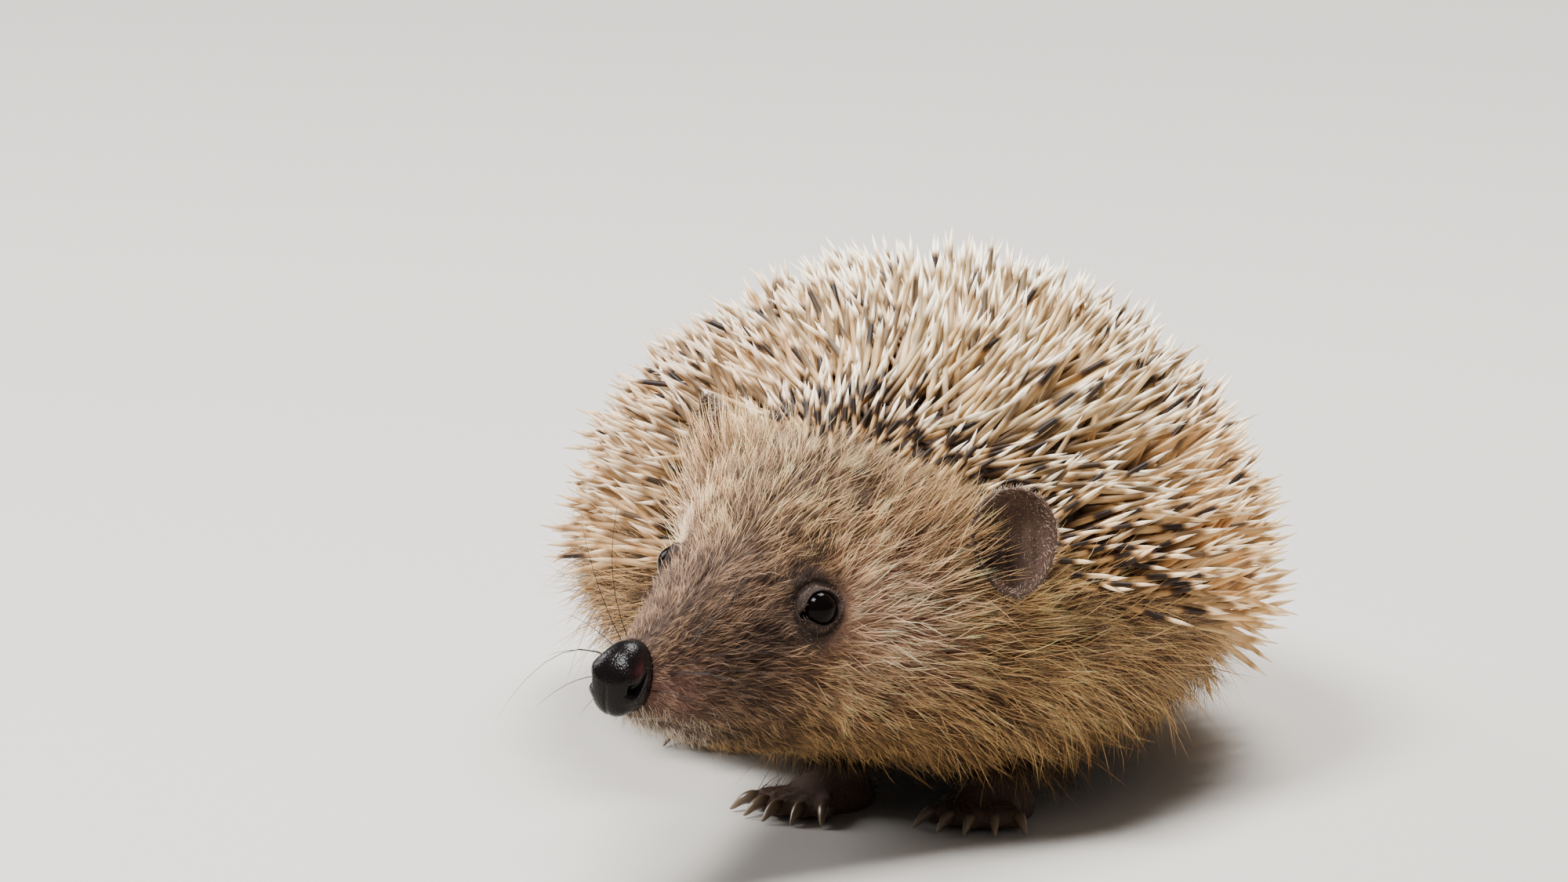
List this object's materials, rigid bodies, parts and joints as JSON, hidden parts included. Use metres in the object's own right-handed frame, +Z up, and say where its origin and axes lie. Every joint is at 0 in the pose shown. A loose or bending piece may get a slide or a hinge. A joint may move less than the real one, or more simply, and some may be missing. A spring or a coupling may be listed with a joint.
{
  "type": "hedgehog",
  "caption": "Life-size museum-style model of a young European hedgehog standing low on all four feet with its head turned to its right.",
  "frame": {"origin": "on the floor, under the middle of the whole animal's bounding box", "axes": "+Z up; the middle of the trunk faces -Y, with the head turned from there towards -X, and +X is the animal's left"},
  "size_m": [0.1158, 0.1572, 0.0696],
  "materials": {
    "fur": "matt, soft hair",
    "spines": "dry keratin, slight sheen",
    "skin": "velvety skin",
    "nose": "wet, glossy",
    "eye": "wet, mirror-bright"
  },
  "bodies": {
    "root": {"head": "fur", "lower_jaw": "fur", "neck": "fur", "trunk": "fur", "spiny_back": "spines", "nose": "nose", "eye_left": "eye", "eye_right": "eye", "ear_left": "skin", "ear_right": "skin", "forefoot_left": "skin", "forefoot_right": "skin", "hindfoot_left": "skin", "hindfoot_right": "skin", "foreleg_left": "fur", "foreleg_right": "fur", "hindleg_left": "fur", "hindleg_right": "fur", "tail": "skin"}
  },
  "joints": []
}
